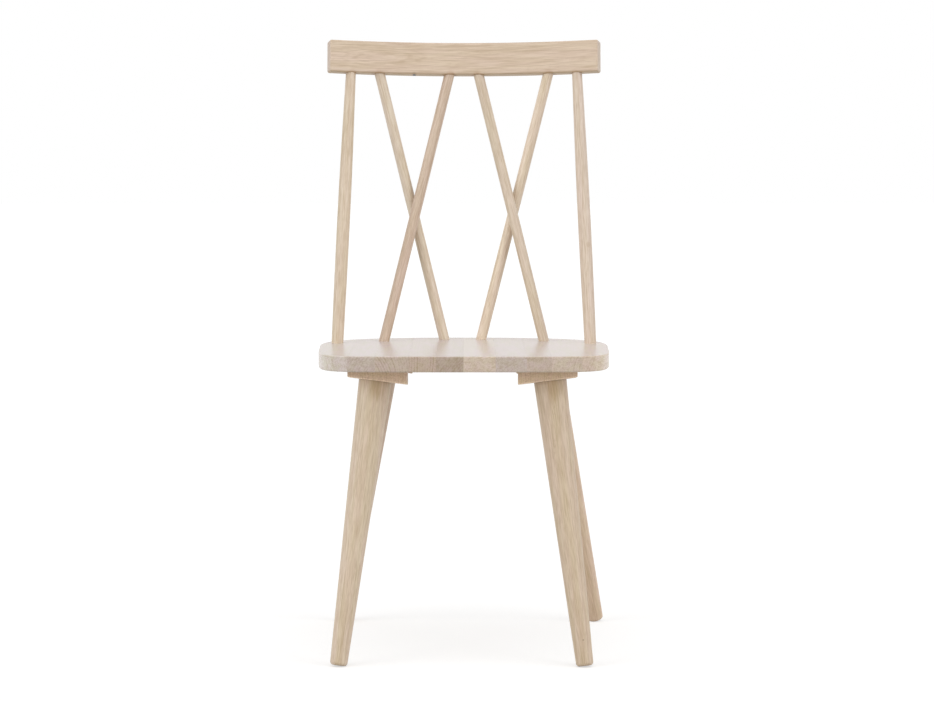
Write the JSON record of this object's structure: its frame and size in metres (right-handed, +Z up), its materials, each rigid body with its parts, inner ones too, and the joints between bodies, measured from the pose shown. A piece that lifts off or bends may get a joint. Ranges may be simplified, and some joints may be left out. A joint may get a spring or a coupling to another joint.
{
  "type": "dining chair",
  "caption": "Pale lime-waxed wooden dining chair with a bowed crest rail, crossed spindles, a jointed-stave seat and splayed round tapered legs.",
  "frame": {"origin": "On the floor, at the middle of the chair's width and depth: the centre of the bottom of its bounding box.", "axes": "+Z is up, the direction of the chair's greatest extent. The sitter faces -Y. +X is on the right of someone who looks at the chair's front. The rail, the spindles and the seat's outline mirror across an upright plane 0.91 mm to the left of the YZ plane, because the right rear foot alone reaches past the seat's width; only the feet of the two rear cross spindles stand 2 mm further left. The blocks and legs are turned as one base by 0.6 degree about the middle of the seat, and both rear legs also lean 0.8 degree to the right, and both front legs 0.1 degree to the left, as the picture shows them."},
  "size_m": [0.4412, 0.4592, 0.9238],
  "materials": {
    "crest_rail": "lime-waxed solid wood, satin",
    "outer_spindle_left": "lime-waxed solid wood, satin",
    "outer_spindle_right": "lime-waxed solid wood, satin",
    "front_cross_spindle_left": "lime-waxed solid wood, satin",
    "front_cross_spindle_right": "lime-waxed solid wood, satin",
    "rear_cross_spindle_left": "lime-waxed solid wood, satin",
    "rear_cross_spindle_right": "lime-waxed solid wood, satin",
    "seat_stave_1": "lime-waxed solid wood, satin",
    "seat_stave_2": "lime-waxed solid wood, satin",
    "seat_stave_3": "lime-waxed solid wood, satin",
    "seat_stave_4": "lime-waxed solid wood, satin",
    "seat_stave_5": "lime-waxed solid wood, satin",
    "seat_stave_6": "lime-waxed solid wood, satin",
    "seat_stave_7": "lime-waxed solid wood, satin",
    "seat_stave_8": "lime-waxed solid wood, satin",
    "seat_stave_9": "lime-waxed solid wood, satin",
    "seat_stave_10": "lime-waxed solid wood, satin",
    "wedge_block_front_left": "lime-waxed solid wood, matt",
    "wedge_block_front_right": "lime-waxed solid wood, matt",
    "wedge_block_rear_left": "lime-waxed solid wood, matt",
    "wedge_block_rear_right": "lime-waxed solid wood, matt",
    "leg_front_left": "lime-waxed solid wood, satin",
    "leg_front_right": "lime-waxed solid wood, satin",
    "leg_rear_left": "lime-waxed solid wood, satin",
    "leg_rear_right": "lime-waxed solid wood, satin",
    "hanger_bolt_front_left": "bright zinc plate",
    "hanger_bolt_front_right": "bright zinc plate",
    "hanger_bolt_rear_left": "bright zinc plate",
    "hanger_bolt_rear_right": "bright zinc plate",
    "threaded_insert_front_left": "brass plate",
    "threaded_insert_front_right": "brass plate",
    "threaded_insert_rear_left": "brass plate",
    "threaded_insert_rear_right": "brass plate",
    "block_screw_front_left_inner": "bright zinc plate",
    "block_screw_front_left_outer": "bright zinc plate",
    "block_screw_front_right_inner": "bright zinc plate",
    "block_screw_front_right_outer": "bright zinc plate",
    "block_screw_rear_left_inner": "bright zinc plate",
    "block_screw_rear_left_outer": "bright zinc plate",
    "block_screw_rear_right_inner": "bright zinc plate",
    "block_screw_rear_right_outer": "bright zinc plate"
  },
  "bodies": {
    "root": {"crest_rail": "crest_rail", "outer_spindle_left": "outer_spindle_left", "outer_spindle_right": "outer_spindle_right", "front_cross_spindle_left": "front_cross_spindle_left", "front_cross_spindle_right": "front_cross_spindle_right", "rear_cross_spindle_left": "rear_cross_spindle_left", "rear_cross_spindle_right": "rear_cross_spindle_right", "seat_stave_1": "seat_stave_1", "seat_stave_2": "seat_stave_2", "seat_stave_3": "seat_stave_3", "seat_stave_4": "seat_stave_4", "seat_stave_5": "seat_stave_5", "seat_stave_6": "seat_stave_6", "seat_stave_7": "seat_stave_7", "seat_stave_8": "seat_stave_8", "seat_stave_9": "seat_stave_9", "seat_stave_10": "seat_stave_10", "wedge_block_front_left": "wedge_block_front_left", "wedge_block_front_right": "wedge_block_front_right", "wedge_block_rear_left": "wedge_block_rear_left", "wedge_block_rear_right": "wedge_block_rear_right", "leg_front_left": "leg_front_left", "leg_front_right": "leg_front_right", "leg_rear_left": "leg_rear_left", "leg_rear_right": "leg_rear_right", "hanger_bolt_front_left": "hanger_bolt_front_left", "hanger_bolt_front_right": "hanger_bolt_front_right", "hanger_bolt_rear_left": "hanger_bolt_rear_left", "hanger_bolt_rear_right": "hanger_bolt_rear_right", "threaded_insert_front_left": "threaded_insert_front_left", "threaded_insert_front_right": "threaded_insert_front_right", "threaded_insert_rear_left": "threaded_insert_rear_left", "threaded_insert_rear_right": "threaded_insert_rear_right", "block_screw_front_left_inner": "block_screw_front_left_inner", "block_screw_front_left_outer": "block_screw_front_left_outer", "block_screw_front_right_inner": "block_screw_front_right_inner", "block_screw_front_right_outer": "block_screw_front_right_outer", "block_screw_rear_left_inner": "block_screw_rear_left_inner", "block_screw_rear_left_outer": "block_screw_rear_left_outer", "block_screw_rear_right_inner": "block_screw_rear_right_inner", "block_screw_rear_right_outer": "block_screw_rear_right_outer"}
  },
  "joints": []
}
